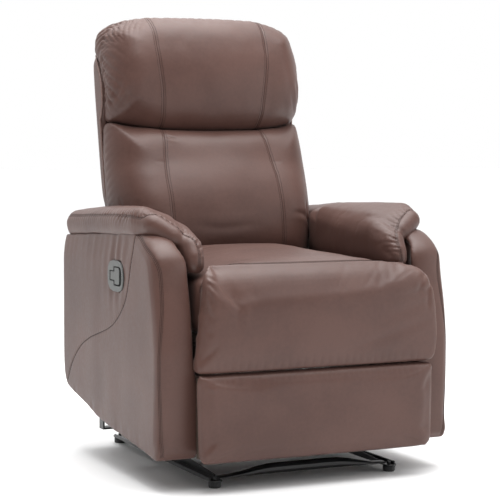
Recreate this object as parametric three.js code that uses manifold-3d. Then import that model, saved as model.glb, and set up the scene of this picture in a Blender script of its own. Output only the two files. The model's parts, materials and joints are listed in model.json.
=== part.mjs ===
// Manual recliner armchair, in millimetres.
// X is the chair's width (+X is the sitter's left), the front faces -Y, +Z is up,
// and Z = 0 is the floor.
import * as THREE from 'three';
import Module from 'manifold-3d';

const manifold = await Module();
manifold.setup();

// ---- driving dimensions ---------------------------------------------------
const GAP = 0.3;                  // clearance between pieces that touch

const ARM_INNER = 290.5;          // arm's inner face, from the middle plane
const ARM_OUTER = 361.2;           // arm's outer face
const ARM_BOARD = 17;             // thickness of the arm's board
const PAD_INNER = 228;
const PAD_OUTER = 353;

const SEAT_HALF = 278;            // half width of the seat between the arms
const SEAT_CROWN_HALF = 204;      // half width of the part that rises between the armrest pads
const FRONT_HALF = 287;           // half width of the seat's front roll and of the footrest
const SEAT_FRONT_Y = -404;
const SEAT_TOP = 484;
const FRONT_SPLIT = 263;          // underside of the seat's front roll
const FOOTREST_TOP = 257;
const FOOTREST_BOTTOM = 64;

const BACK_TILT = 10.5;           // degrees from upright, when closed
const BACK_FOOT = [105, 480];     // front face of the back at seat level, (y, z)
const BACK_DEPTH = 148.9;
const BACK_HALF_LOW = 249;        // half width where it sits between the pads
const BACK_HALF_WIDE = 272;       // half width just above the pads
const HEAD_HALF = 264;
const HEAD_SPLIT = 331;           // crease between the cushions, measured up the back
const BACK_TOP = 592;

const RAIL_INNER = 203;           // base rails, their upright leg
const RAIL_OUTER = 231;
const RAIL_LOW = 14;
const RAIL_HIGH = 50;
const LIP = 8;                     // the rails' low outer edge
const STEEL = 3;

// The links lie side by side in four layers; each starts at this distance
// from the middle plane.
const LAYER = [226, 230.5, 235, 239.5];
const RIVET = 5;
const RIVET_HOLE = 5.4;

// Footrest linkage, closed position, in (y, z). Angles are degrees from +Y towards +Z.
const DRIVE_PIVOT = [-203, 239];
const DRIVE_LENGTH = 177;
const DRIVE_ANGLE = -61;
const TILT_FRACTION = 0.79;       // where the tilt link joins, along the drive link
const LONG_LENGTH = 240;
const LONG_ANGLE = 154;
const LONG_TAIL = 0.22;           // tail behind the joint, as a part of its length
const CONTROL_PIVOT = [-156, 216.44];
const BRACKET_STEP = [-13, 43.01];

// Links that carry the seat over the base.
const SWING_RISE = 187;
const SWING_LEAN = 18;
const SWING_LOW_Z = 38;
const SWING_FRONT_Y = -62;
const SWING_REAR_Y = 152;

const RECLINE_PIVOT = [165, 330];

// ---- materials --------------------------------------------------------------
const material = (color, roughness, metalness = 0) =>
  new THREE.MeshStandardMaterial({ color, roughness, metalness });
const leather = material(0x6f554d, 0.5);
const plywood = material(0xb99b6b, 0.7);
const blackSteel = material(0x17171a, 0.4, 0.6);
const springSteel = material(0x6d6f73, 0.35, 0.9);
const greyPlastic = material(0x55585a, 0.45);
const blackPlastic = material(0x1b1b1d, 0.5);

const chair = new THREE.Group();
chair.name = 'recliner_armchair';

function add(name, geometry, surface) {
  const mesh = new THREE.Mesh(geometry, surface);
  mesh.name = name;
  chair.add(mesh);
}

// Adds a piece and its mirror image; make(side) gets 1 for the sitter's left.
function addPair(name, make, surface) {
  add(`${name}_left`, make(1), surface);
  add(`${name}_right`, make(-1), surface);
}

// ---- joining and cutting ------------------------------------------------------
function toSolid(geometry) {
  const place = geometry.attributes.position;
  const seen = new Map();
  const points = [];
  const indexOf = (i) => {
    const p = [place.getX(i), place.getY(i), place.getZ(i)];
    const key = p.map((v) => Math.round(v * 1e4)).join();
    if (!seen.has(key)) {
      seen.set(key, points.length / 3);
      points.push(...p);
    }
    return seen.get(key);
  };
  const count = geometry.index ? geometry.index.count : place.count;
  const corners = [];
  for (let i = 0; i < count; i += 3) {
    const [a, b, c] = [0, 1, 2].map((k) => indexOf(geometry.index ? geometry.index.getX(i + k) : i + k));
    if (a !== b && b !== c && c !== a) corners.push(a, b, c);
  }
  return new manifold.Manifold(new manifold.Mesh({
    numProp: 3, vertProperties: new Float32Array(points), triVerts: new Uint32Array(corners),
  }));
}

function toGeometry(solid) {
  const mesh = solid.getMesh();
  const geometry = new THREE.BufferGeometry();
  geometry.setAttribute('position', new THREE.BufferAttribute(new Float32Array(mesh.vertProperties), 3));
  geometry.setIndex(new THREE.BufferAttribute(new Uint32Array(mesh.triVerts), 1));
  const flat = geometry.toNonIndexed();
  flat.computeVertexNormals();
  return flat;
}

const join = (...pieces) => toGeometry(manifold.Manifold.union(pieces.map(toSolid)));
const cut = (piece, ...tools) =>
  toGeometry(toSolid(piece).subtract(manifold.Manifold.union(tools.map(toSolid))));

// ---- shapes ---------------------------------------------------------------------
function box(x0, x1, y0, y1, z0, z1) {
  const g = new THREE.BoxGeometry(Math.abs(x1 - x0), Math.abs(y1 - y0), Math.abs(z1 - z0));
  return g.translate((x0 + x1) / 2, (y0 + y1) / 2, (z0 + z1) / 2);
}

// A polygon whose corners are eased by `radius` (one number, or one per corner).
function outline(points, radius = 0) {
  const shape = new THREE.Shape();
  points.forEach((p, i) => {
    const before = new THREE.Vector2(...points.at(i - 1));
    const here = new THREE.Vector2(...p);
    const after = new THREE.Vector2(...points[(i + 1) % points.length]);
    const want = Array.isArray(radius) ? radius[i] : radius;
    const reach = (q) => Math.min(want, here.distanceTo(q) * 0.49) / here.distanceTo(q);
    const from = here.clone().lerp(before, reach(before));
    const to = here.clone().lerp(after, reach(after));
    if (i === 0) shape.moveTo(from.x, from.y);
    else shape.lineTo(from.x, from.y);
    if (want > 0) shape.quadraticCurveTo(here.x, here.y, to.x, to.y);
  });
  shape.closePath();
  return shape;
}

// The outline's points, without doubled points and points on a straight run.
function tidy(shape) {
  const points = shape.getPoints(3);
  const kept = points.filter((p, i) => p.distanceTo(points.at(i - 1)) > 0.01);
  return new THREE.Shape(kept.filter((p, i) => {
    const a = p.clone().sub(kept.at(i - 1));
    const b = kept[(i + 1) % kept.length].clone().sub(p);
    return Math.abs(a.cross(b)) > 1e-4 * a.length() * b.length();
  }));
}

function thicken(shape, depth, bevel = 0, steps = 2) {
  return new THREE.ExtrudeGeometry(tidy(shape), {
    depth: depth - 2 * bevel, bevelEnabled: bevel > 0, bevelThickness: bevel, bevelSize: bevel,
    bevelOffset: -bevel, bevelSegments: steps, curveSegments: 1,
  }).translate(0, 0, bevel);
}

// A (y, z) outline made solid from x0 to x1.
function acrossX(shape, x0, x1, bevel = 0, steps = 2) {
  const [low, high] = [Math.min(x0, x1), Math.max(x0, x1)];
  const turn = new THREE.Matrix4().makeBasis(
    new THREE.Vector3(0, 1, 0), new THREE.Vector3(0, 0, 1), new THREE.Vector3(1, 0, 0));
  return thicken(shape, high - low, bevel, steps).applyMatrix4(turn).translate(low, 0, 0);
}

// The back's own frame: x across, u up its front face, v from front to rear.
const tilt = THREE.MathUtils.degToRad(BACK_TILT);
const backTurn = new THREE.Matrix4().makeBasis(
  new THREE.Vector3(-1, 0, 0),
  new THREE.Vector3(0, Math.sin(tilt), Math.cos(tilt)),
  new THREE.Vector3(0, Math.cos(tilt), -Math.sin(tilt)));

// An (x, u) outline made solid from depth v0 to v1 of the back.
function upBack(shape, v0, v1, bevel = 0, steps = 2) {
  return thicken(shape, v1 - v0, bevel, steps).translate(0, 0, v0)
    .applyMatrix4(backTurn).translate(0, ...BACK_FOOT);
}

function backBox(x0, x1, u0, u1, v0, v1) {
  return upBack(outline([[-x0, u0], [-x1, u0], [-x1, u1], [-x0, u1]]), v0, v1);
}

function backPoint(u, v) {
  return [BACK_FOOT[0] + u * Math.sin(tilt) + v * Math.cos(tilt),
    BACK_FOOT[1] + u * Math.cos(tilt) - v * Math.sin(tilt)];
}

function pinX(at, x0, x1, radius, sides = 10) {
  return new THREE.CylinderGeometry(radius, radius, Math.abs(x1 - x0), sides)
    .rotateZ(Math.PI / 2).translate((x0 + x1) / 2, ...at);
}

// A flat steel strip with rounded ends through the given (y, z) points.
function strip(points, halfWidth) {
  const [first, last] = [new THREE.Vector2(...points[0]), new THREE.Vector2(...points.at(-1))];
  const along = last.clone().sub(first).normalize();
  const shape = new THREE.Shape();
  const facing = Math.atan2(along.y, along.x);
  shape.absarc(last.x, last.y, halfWidth, facing - Math.PI / 2, facing + Math.PI / 2, false);
  shape.absarc(first.x, first.y, halfWidth, facing + Math.PI / 2, facing + Math.PI * 1.5, false);
  shape.closePath();
  return shape;
}

// One link: strip in a layer, with holes, and rivets that reach into other layers.
function link({ side, layer, points, halfWidth = 11, holes = [], rivets = [] }) {
  const x0 = LAYER[layer];
  let body = acrossX(strip(points, halfWidth), side * x0, side * (x0 + STEEL));
  const heads = rivets.map(({ at, to }) => {
    const reach = LAYER[to] > x0 ? [x0 + 1, LAYER[to] + STEEL + 1.2] : [x0 + 1, LAYER[to] - 1.2];
    return pinX(at, side * reach[0], side * reach[1], RIVET);
  });
  if (heads.length) body = join(body, ...heads);
  if (holes.length) {
    body = cut(body, ...holes.map((at) => pinX(at, side * (x0 - 1), side * (x0 + STEEL + 1), RIVET_HOLE)));
  }
  return body;
}

// ---- pivots of the footrest linkage ------------------------------------------------
const polar = (from, length, degrees) => {
  const a = THREE.MathUtils.degToRad(degrees);
  return [from[0] + length * Math.cos(a), from[1] + length * Math.sin(a)];
};
const longPivot = polar(DRIVE_PIVOT, DRIVE_LENGTH, DRIVE_ANGLE);
const tiltPivot = polar(DRIVE_PIVOT, DRIVE_LENGTH * TILT_FRACTION, DRIVE_ANGLE);
const footPivot = polar(longPivot, LONG_LENGTH, LONG_ANGLE);
const tailPivot = polar(longPivot, -LONG_LENGTH * LONG_TAIL, LONG_ANGLE);
const footUpperPivot = [footPivot[0] + BRACKET_STEP[0], footPivot[1] + BRACKET_STEP[1]];
const swingTop = (y) => [y + SWING_LEAN, SWING_LOW_Z + SWING_RISE];

// ---- base -------------------------------------------------------------------------
const FOOT_X = 217;
const FOOT_YS = { front: -327, rear: 268 };

addPair('base_rail', (side) => {
  const x0 = side * RAIL_INNER;
  const flange = thicken(outline([[x0, -345], [side * RAIL_OUTER, -345],
    [side * RAIL_OUTER, 285], [x0, 285]], 12), STEEL).translate(0, 0, RAIL_LOW);
  const web = acrossX(outline([[-300, RAIL_LOW], [240, RAIL_LOW], [240, RAIL_HIGH],
    [-98, RAIL_HIGH], [-150, 33], [-300, 22]], [0, 0, 6, 10, 10, 3]), x0, x0 + side * STEEL);
  const lip = box(side * RAIL_OUTER, side * (RAIL_OUTER - STEEL), -330, 270, RAIL_LOW, RAIL_LOW + LIP);
  const pivots = [SWING_FRONT_Y, SWING_REAR_Y].map((y) =>
    pinX([y, SWING_LOW_Z], x0 - side, x0 + side * (STEEL + 1), RIVET_HOLE));
  const studs = Object.values(FOOT_YS).map((y) =>
    new THREE.CylinderGeometry(4.4, 4.4, 12, 12).rotateX(Math.PI / 2).translate(side * FOOT_X, y, RAIL_LOW));
  return cut(join(flange, web, lip), ...pivots, ...studs);
}, blackSteel);

for (const [end, y] of Object.entries(FOOT_YS)) {
  addPair(`foot_${end}`, (side) => {
    const profile = [[0, 0], [12.5, 0], [14, 1.6], [14, 11.5], [12.4, RAIL_LOW - GAP],
      [4, RAIL_LOW - GAP], [4, 23], [0, 23]].map((p) => new THREE.Vector2(...p));
    return new THREE.LatheGeometry(profile, 12).rotateX(Math.PI / 2).translate(side * FOOT_X, y, 0);
  }, blackPlastic);
}

// A round tube, pressed flat at its ends, that ties the rails together.
const CROSS_TUBE = 12;
function crossTube(y) {
  const half = FOOT_X - 10;
  const tube = new THREE.CylinderGeometry(CROSS_TUBE, CROSS_TUBE, 2 * half, 10, 14).rotateZ(Math.PI / 2);
  const at = tube.attributes.position;
  for (let i = 0; i < at.count; i++) {
    const along = Math.abs(at.getX(i)) / half;
    const flat = 1 - 0.78 * THREE.MathUtils.smoothstep(along, 0.35, 0.97);
    const middle = RAIL_LOW + STEEL + GAP + CROSS_TUBE * flat;
    at.setXYZ(i, at.getX(i), y + at.getY(i) * (1.25 - 0.25 * flat), middle + at.getZ(i) * flat);
  }
  tube.computeVertexNormals();
  return tube;
}
add('front_cross_tube', crossTube(-318), blackSteel);
add('rear_cross_tube', crossTube(262), blackSteel);

// Flat bars over the rails, turned up at both ends, that carry the arms.
function outrigger(y0, y1, top) {
  const reach = ARM_INNER - GAP;
  return join(
    box(-reach, reach, y0, y1, RAIL_HIGH + GAP, RAIL_HIGH + 5),
    box(-reach, -reach + 4, y0, y1, RAIL_HIGH + GAP, top),
    box(reach - 4, reach, y0, y1, RAIL_HIGH + GAP, top));
}
add('outrigger_front', outrigger(-38, -8, 158), blackSteel);
add('outrigger_rear', outrigger(186, 214, 226), blackSteel);
add('rear_stretcher', box(-ARM_INNER + GAP, ARM_INNER - GAP, 228, 246, 168, 226), plywood);
// A covered board closes the rear between the arms, below the swing of the back.
add('rear_panel', box(-ARM_INNER + GAP, ARM_INNER - GAP, 247, 252, 96, 322), leather);

// ---- arms -----------------------------------------------------------------------------
const armOutline = outline([[-352, 80], [-360, 165], [-361, 240], [-357, 318], [-349, 386], [-336, 440],
  [-322, 484], [-301, 509], [-255, 530], [-200, 541], [279, 521], [281, 212], [258, 162], [228, 149],
  [20, 107], [-143, 90], [-250, 83]], [30, 0, 0, 0, 0, 0, 0, 0, 0, 0, 24, 0, 0, 0, 40, 40, 30]);
const boardPoints = [[-326, 93], [20, 121], [226, 164], [258, 226], [258, 510], [-198, 529],
  [-275, 470], [-308, 415], [-326, 330]];
const cablePlace = [-72, 449];

addPair('arm_frame', (side) => {
  const board = acrossX(outline(boardPoints, 12), side * ARM_INNER, side * (ARM_INNER + ARM_BOARD));
  if (side > 0) return board;
  return cut(board, pinX(cablePlace, -ARM_INNER + 2, -ARM_INNER - ARM_BOARD - 2, 12));
}, plywood);

const HANDLE = { y: -98.5, z: 449, wide: 101, tall: 70, proud: 4.2 };
const TRAY = { y0: -144, y1: -58, z0: 421, z1: 477, deep: 329 };

const faceX = HANDLE.proud - ARM_OUTER;
const roundedRect = (y0, y1, z0, z1, r) => outline([[y0, z0], [y1, z0], [y1, z1], [y0, z1]], r);
const bezelOutline = (grow) => roundedRect(
  HANDLE.y - HANDLE.wide / 2 - grow, HANDLE.y + HANDLE.wide / 2 + grow,
  HANDLE.z - HANDLE.tall / 2 - grow, HANDLE.z + HANDLE.tall / 2 + grow, 34);

addPair('arm_upholstery', (side) => {
  const whole = acrossX(armOutline, side * ARM_INNER, side * ARM_OUTER, 13);
  const grown = boardPoints.map(([y, z]) => {
    const out = new THREE.Vector2(y + 20, z - 310).normalize().multiplyScalar(0.8);
    return [y + out.x, z + out.y];
  });
  const slot = acrossX(outline(grown, 11), side * (ARM_INNER - 4), side * (ARM_INNER + ARM_BOARD + GAP));
  if (side > 0) return cut(whole, slot);
  return cut(whole, slot,
    box(-TRAY.deep + GAP, -ARM_OUTER - 5, TRAY.y0 - GAP, TRAY.y1 + GAP, TRAY.z0 - GAP, TRAY.z1 + GAP),
    acrossX(bezelOutline(0.6), faceX, faceX - 20),
    pinX(cablePlace, -ARM_INNER - ARM_BOARD + 2, -TRAY.deep - 2, 4.5));
}, leather);

addPair('armrest_pad', (side) => {
  const top = [[-286, 545], [-280, 566], [-262, 584], [-230, 597], [-180, 604], [27, 601], [201, 593],
    [279, 588]];
  const bar = (rear) => outline([...top.filter(([y]) => y < rear), [rear, rear > 200 ? 588 : 600],
    [rear, 522 + (279 - rear) * 0.0418], [-212, 543], [-252, 535], [-278, 532]], 0);
  const outer = acrossX(bar(279), side * 254, side * PAD_OUTER, 9);
  const inner = acrossX(bar(84), side * PAD_INNER, side * 300, 9);
  const roll = acrossX(outline([[-326, 464], [84, 462], [84, 575], [-150, 572], [-250, 549], [-322, 518]],
    [30, 20, 20, 0, 0, 24]), side * PAD_INNER, side * (ARM_INNER - 1.2), 9);
  return join(outer, inner, roll);
}, leather);

// ---- release handle on the sitter's right ------------------------------------------------
const LEVER = { pivotY: -68, x: faceX + 3.5 };
const bezelPlate = acrossX(bezelOutline(0), faceX - GAP, faceX - HANDLE.proud, 1.6, 1);
add('handle_bezel', cut(
  join(bezelPlate, acrossX(roundedRect(TRAY.y0, TRAY.y1, TRAY.z0, TRAY.z1, 8), -TRAY.deep, faceX - 1)),
  acrossX(outline([[-140, 427], [-89, 427], [-89, 437], [-63, 437], [-63, 461], [-89, 461], [-89, 471],
    [-140, 471]], [16, 3, 2, 4, 4, 2, 3, 16]), -TRAY.deep - 4, faceX - 8),
  pinX(cablePlace, -TRAY.deep + 2, -TRAY.deep - 6, 3.4),
  new THREE.CylinderGeometry(2.7, 2.7, 31, 12).rotateX(Math.PI / 2).translate(LEVER.x, LEVER.pivotY, HANDLE.z),
), greyPlastic);

// A paddle with a narrow rear tab; its front edge is pulled outward by the fingers.
const paddle = outline([[-121, 430], [-91.5, 430], [-91.5, 439.5], [-65.5, 439.5], [-65.5, 458.5],
  [-91.5, 458.5], [-91.5, 468], [-121, 468]], [5, 4, 0, 3, 3, 0, 4, 5]);
add('handle_lever', join(
  acrossX(paddle, LEVER.x - 2, faceX - 3),
  box(faceX + 1, LEVER.x + 2.8, -71, -65.5, 440, 458),
  new THREE.CylinderGeometry(2.3, 2.3, 29.6, 12).rotateX(Math.PI / 2).translate(LEVER.x, LEVER.pivotY, HANDLE.z),
), greyPlastic);

const cablePath = new THREE.CatmullRomCurve3([
  [-TRAY.deep - 2, -72, 449], [-306, -72, 449], [-292, -72, 446], [-285.6, -72, 432], [-284.6, -72, 340],
  [-284.6, -72, 120], [-282, -71, 88], [-276, -64, 70], [-272, -52, 66], [-272, -37, 66],
].map((p) => new THREE.Vector3(...p)), false, 'centripetal');
const cableSection = new THREE.Shape().absarc(0, 0, 2.4, 0, Math.PI * 2);
add('release_cable', new THREE.ExtrudeGeometry(cableSection,
  { extrudePath: cablePath, steps: 36, curveSegments: 3, bevelEnabled: false }), blackPlastic);
add('latch_housing', box(-283, -258, -36, -10, RAIL_HIGH + 5 + GAP, 80), blackSteel);

// ---- links that carry the seat -----------------------------------------------------------------
for (const [end, y] of [['front', SWING_FRONT_Y], ['rear', SWING_REAR_Y]]) {
  addPair(`swing_link_${end}`, (side) => {
    const low = [y, SWING_LOW_Z];
    const bar = link({ side, layer: 1, points: [low, swingTop(y)], rivets: [{ at: swingTop(y), to: 2 }] });
    return join(bar,
      pinX(low, side * (LAYER[1] + 1), side * (RAIL_INNER + STEEL + GAP), 7),
      pinX(low, side * (RAIL_INNER + STEEL + 2), side * (RAIL_INNER - 1.5), RIVET));
  }, blackSteel);
}

// ---- seat frame --------------------------------------------------------------------------------
const plateHole = (side, at) => pinX(at, side * (LAYER[2] - 1), side * (LAYER[2] + STEEL + 1), RIVET_HOLE);

addPair('seat_plate', (side) => cut(
  acrossX(outline([[-226, 300], [-226, 222], [-176, 200], [-136, 200], [-100, 210], [188, 210], [188, 318],
    [180, 346], [150, 346], [138, 300]]), side * LAYER[2], side * (LAYER[2] + STEEL)),
  ...[DRIVE_PIVOT, CONTROL_PIVOT, swingTop(SWING_FRONT_Y), swingTop(SWING_REAR_Y), RECLINE_PIVOT]
    .map((at) => plateHole(side, at))), blackSteel);

const FRAME_TOP = 312;
const plateOuter = LAYER[2] + STEEL;
addPair('seat_frame', (side) =>
  box(side * (plateOuter + GAP), side * 262, -349.7, 120, 250, FRAME_TOP), plywood);
add('seat_front_rail', box(-262, 262, -371.7, -350, 264, FRAME_TOP), plywood);
add('seat_rear_rail', box(-LAYER[2] + GAP, LAYER[2] - GAP, 98, 120, 250, FRAME_TOP), plywood);

class SinuousWire extends THREE.Curve {
  constructor(x) { super(); this.x = x; }
  getPoint(t, target = new THREE.Vector3()) {
    const bow = 5 * Math.sin(Math.PI * t);
    return target.set(this.x + 24 * Math.sin(t * Math.PI * 13), -362 + 474 * t, FRAME_TOP + GAP + 2 + bow);
  }
}
const wireSection = new THREE.Shape().absarc(0, 0, 1.9, 0, Math.PI * 2);
[-156, -52, 52, 156].forEach((x, i) => add(`seat_spring_${i + 1}`, new THREE.ExtrudeGeometry(wireSection,
  { extrudePath: new SinuousWire(x), steps: 52, curveSegments: 2, bevelEnabled: false }), springSteel));

add('seat_cushion', join(
  acrossX(outline([[-402, 332], [SEAT_FRONT_Y, 436], [-392, 467], [-362, 485], [-180, 492],
    [88, SEAT_TOP - 4], [88, 332]], [0, 0, 0, 0, 60, 30, 0]), -SEAT_CROWN_HALF, SEAT_CROWN_HALF, 12),
  acrossX(outline([[-350, 332], [-350, 452], [88, 452], [88, 332]], [0, 0, 24, 0]),
    -SEAT_HALF, SEAT_HALF, 10),
  acrossX(outline([[SEAT_FRONT_Y, 275], [SEAT_FRONT_Y, 432], [-392, 463], [-362, 480], [-346, 476],
    [-346, 332], [-372, 332], [-372, FRONT_SPLIT], [-394, FRONT_SPLIT]]),
  -FRONT_HALF, FRONT_HALF, 9)), leather);

// ---- back ---------------------------------------------------------------------------------------------
addPair('back_post', (side) => backBox(side * 205, side * (LAYER[1] - GAP), -50, 548, 89, 109), plywood);
for (const [name, u0, u1] of [['back_bottom_rail', -50, -8], ['back_middle_rail', 296, 338],
  ['back_top_rail', 492, 548]]) {
  add(name, backBox(-205 + GAP, 205 - GAP, u0, u1, 89, 109), plywood);
}

addPair('back_bracket', (side) => join(
  acrossX(outline([[152, 322], [165, 315], [178, 322], backPoint(-92, 103.5), backPoint(110, 103.5),
    backPoint(110, 89), backPoint(-80, 89), backPoint(-120, 72)], 9),
  side * LAYER[1], side * (LAYER[1] + STEEL)),
  pinX(RECLINE_PIVOT, side * (LAYER[1] + 1), side * (plateOuter + 1.2), RIVET)), blackSteel);

const mirrored = (points) => [...points, ...points.map(([x, u]) => [-x, u]).reverse()];

// The lower back swells forward between the armrests.
add('back_cushion', join(
  upBack(outline(mirrored([[BACK_HALF_LOW, -75], [BACK_HALF_LOW, 156],
    [BACK_HALF_WIDE, 190], [BACK_HALF_WIDE - 3, 245], [255, HEAD_SPLIT - 3]]),
  [30, 0, 0, 0, 26, 26, 0, 0, 0, 30]), 0, 88, 14),
  acrossX(outline([backPoint(14, 40), backPoint(14, -30), backPoint(38, -44), backPoint(107, -48),
    backPoint(140, -42), backPoint(185, -25), backPoint(236, -4), backPoint(262, 4), backPoint(262, 40)]),
  -202, 202, 12)), leather);

add('head_cushion', upBack(outline(mirrored([[256, HEAD_SPLIT + 3], [HEAD_HALF, 420], [HEAD_HALF - 4, 490],
  [246, 572], [110, BACK_TOP]]), [26, 0, 0, 44, 0, 0, 44, 0, 0, 26]), -12, 88, 16), leather);

const coverOutline = (inset) => mirrored([[BACK_HALF_LOW - inset, -60 + inset],
  [BACK_HALF_LOW - inset, 150], [262 - inset, 190], [262 - inset, 470], [246 - inset, 548],
  [196, 568 - inset]]);
add('back_cover', cut(
  upBack(outline(coverOutline(0)), 104.3, BACK_DEPTH, 5),
  upBack(outline(coverOutline(8)), 96, BACK_DEPTH - 8)), leather);

// ---- footrest linkage -------------------------------------------------------------------------------------
addPair('drive_link', (side) => link({
  side, layer: 1, points: [DRIVE_PIVOT, longPivot], halfWidth: 12,
  rivets: [{ at: DRIVE_PIVOT, to: 2 }, { at: longPivot, to: 2 }], holes: [tiltPivot],
}), blackSteel);
add('drive_tube', pinX(DRIVE_PIVOT, -LAYER[1] + GAP, LAYER[1] - GAP, 10.5, 14), blackSteel);

addPair('long_link', (side) => link({
  side, layer: 2, points: [tailPivot, footPivot],
  rivets: [{ at: footPivot, to: 1 }, { at: tailPivot, to: 3 }], holes: [longPivot],
}), blackSteel);

const OPEN_LOW_HOLE = 6.2;
addPair('control_link', (side) => cut(link({
  side, layer: 3, points: [CONTROL_PIVOT, tailPivot], rivets: [{ at: CONTROL_PIVOT, to: 2 }],
}), pinX(tailPivot, side * (LAYER[3] - 1), side * (LAYER[3] + STEEL + 1), OPEN_LOW_HOLE)), blackSteel);

addPair('tilt_link', (side) => link({
  side, layer: 0, points: [tiltPivot, footUpperPivot],
  rivets: [{ at: tiltPivot, to: 1 }, { at: footUpperPivot, to: 1 }],
}), blackSteel);

// ---- footrest ---------------------------------------------------------------------------------------------
const BOARD_REAR = -360.7;
const OPEN_HIGH_HOLE = 9.4;
addPair('footrest_bracket', (side) => {
  const front = BOARD_REAR + GAP;
  const x0 = side * LAYER[1];
  const ear = acrossX(outline([[front, 160], [front, 251], [-334, 251], [-328, 226], [-319, 198], [-320, 180],
    [-334, 172]], [0, 0, 8, 4, 8, 8, 8]), x0, x0 + side * STEEL);
  const flange = box(x0, x0 + side * 24, front, front + STEEL, 160, 251);
  const hole = (at, radius) => pinX(at, x0 - side, x0 + side * (STEEL + 1), radius, 12);
  return cut(join(ear, flange), hole(footPivot, RIVET_HOLE), hole(footUpperPivot, OPEN_HIGH_HOLE));
}, blackSteel);
add('footrest_board', box(-274, 274, -375.7, BOARD_REAR, 74, 248), plywood);
add('footrest_pad', acrossX(roundedRect(SEAT_FRONT_Y, -376, FOOTREST_BOTTOM, FOOTREST_TOP, 0),
  -FRONT_HALF, FRONT_HALF, 9), leather);

// The origin is on the floor, under the middle of the whole chair.
const MIDDLE = new THREE.Vector3(0, -25, 0);
for (const mesh of chair.children) mesh.geometry.translate(-MIDDLE.x, -MIDDLE.y, 0);

export default chair;
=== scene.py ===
import json
import math
import bmesh
import bpy
import numpy as np
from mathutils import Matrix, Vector
from mathutils.bvhtree import BVHTree


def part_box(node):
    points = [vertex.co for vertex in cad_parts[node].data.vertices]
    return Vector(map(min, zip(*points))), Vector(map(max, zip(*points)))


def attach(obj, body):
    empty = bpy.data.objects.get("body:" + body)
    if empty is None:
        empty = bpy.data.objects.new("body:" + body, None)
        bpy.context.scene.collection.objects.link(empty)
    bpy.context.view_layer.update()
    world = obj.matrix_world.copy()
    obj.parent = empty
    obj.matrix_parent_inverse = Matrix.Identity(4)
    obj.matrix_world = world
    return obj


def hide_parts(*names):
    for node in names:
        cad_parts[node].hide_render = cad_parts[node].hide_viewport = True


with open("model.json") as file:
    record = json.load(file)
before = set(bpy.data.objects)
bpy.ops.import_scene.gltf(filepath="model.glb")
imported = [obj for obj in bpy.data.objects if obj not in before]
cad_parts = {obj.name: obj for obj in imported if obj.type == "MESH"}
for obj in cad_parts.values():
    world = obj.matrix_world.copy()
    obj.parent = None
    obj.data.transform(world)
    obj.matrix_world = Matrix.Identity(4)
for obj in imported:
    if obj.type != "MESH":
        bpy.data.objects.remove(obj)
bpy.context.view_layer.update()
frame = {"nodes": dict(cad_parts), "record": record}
scene = bpy.context.scene

# Shapes below are in millimetres, with Y measured as in the CAD before it centres the chair.
HANDLE_Y, HANDLE_Z = -98.5, 449
bezel_low, bezel_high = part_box("handle_bezel")
DY = (bezel_low[1] + bezel_high[1]) / 2 - HANDLE_Y / 1000
STEP = 2.0  # between the points of a seam or a fold
CAST_FROM = 400  # how far back from its point a ray starts that carries it onto a surface
BATCH = 3000000  # distances worked out at once


# ---- small tools ---------------------------------------------------------------------------
def to_world(p):
    """From the shapes' millimetres to the scene's metres."""
    p = np.asarray(p, float)
    return np.stack([p[:, 0] / 1000, p[:, 1] / 1000 + DY, p[:, 2] / 1000], 1)


def from_world(p):
    """From the scene's metres back to millimetres."""
    return np.stack([p[:, 0] * 1000, (p[:, 1] - DY) * 1000, p[:, 2] * 1000], 1)


def get(ob, what="co"):
    """The mesh's points in millimetres, or its normals."""
    out = np.zeros(len(ob.data.vertices) * 3)
    ob.data.vertices.foreach_get(what, out)
    out = out.reshape(-1, 3)
    return from_world(out) if what == "co" else out


def put(ob, co):
    """Moves the mesh's points to new places, given in millimetres."""
    ob.data.vertices.foreach_set("co", to_world(co).ravel())
    ob.data.update()


def new_object(name, verts, faces, smooth=True):
    """A new piece, from points in millimetres."""
    me = bpy.data.meshes.new(name)
    me.from_pydata(to_world(verts).tolist(), [], [list(map(int, f)) for f in faces])
    me.update()
    if smooth:
        me.polygons.foreach_set("use_smooth", [True] * len(me.polygons))
    ob = bpy.data.objects.new(name, me)
    scene.collection.objects.link(ob)
    return ob


def bake(ob):
    """Applies the piece's modifiers to its mesh."""
    bpy.context.view_layer.update()
    deps = bpy.context.evaluated_depsgraph_get()
    me = bpy.data.meshes.new_from_object(ob.evaluated_get(deps), depsgraph=deps)
    ob.modifiers.clear()
    old, ob.data = ob.data, me
    bpy.data.meshes.remove(old)
    me.polygons.foreach_set("use_smooth", [True] * len(me.polygons))
    me.update()


def ease(a, b, x):
    """A smooth step from 0 at a to 1 at b."""
    t = np.clip((np.asarray(x, float) - a) / (b - a), 0, 1)
    return t * t * (3 - 2 * t)


def lattice(i, j, k, seed):
    """A repeatable scattered value from 0 to 1 for each whole-number corner."""
    h = np.sin(i * 127.1 + j * 311.7 + k * 74.7 + seed * 53.31) * 43758.5453
    return h - np.floor(h)


def noise(p, seed=0):
    """Smooth value noise from -1 to 1."""
    i = np.floor(p)
    f = p - i
    f = f * f * (3 - 2 * f)
    out = np.zeros(len(p))
    for a in (0, 1):
        for b in (0, 1):
            for c in (0, 1):
                w = np.abs(1 - a - f[:, 0]) * np.abs(1 - b - f[:, 1]) * np.abs(1 - c - f[:, 2])
                out += w * lattice(i[:, 0] + a, i[:, 1] + b, i[:, 2] + c, seed)
    return out * 2 - 1


def wave(t, seed=0):
    """The same noise along a line."""
    t = np.asarray(t, float)
    return noise(np.stack([t, t * 0 + 0.5, t * 0 + 0.5], 1), seed)


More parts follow.
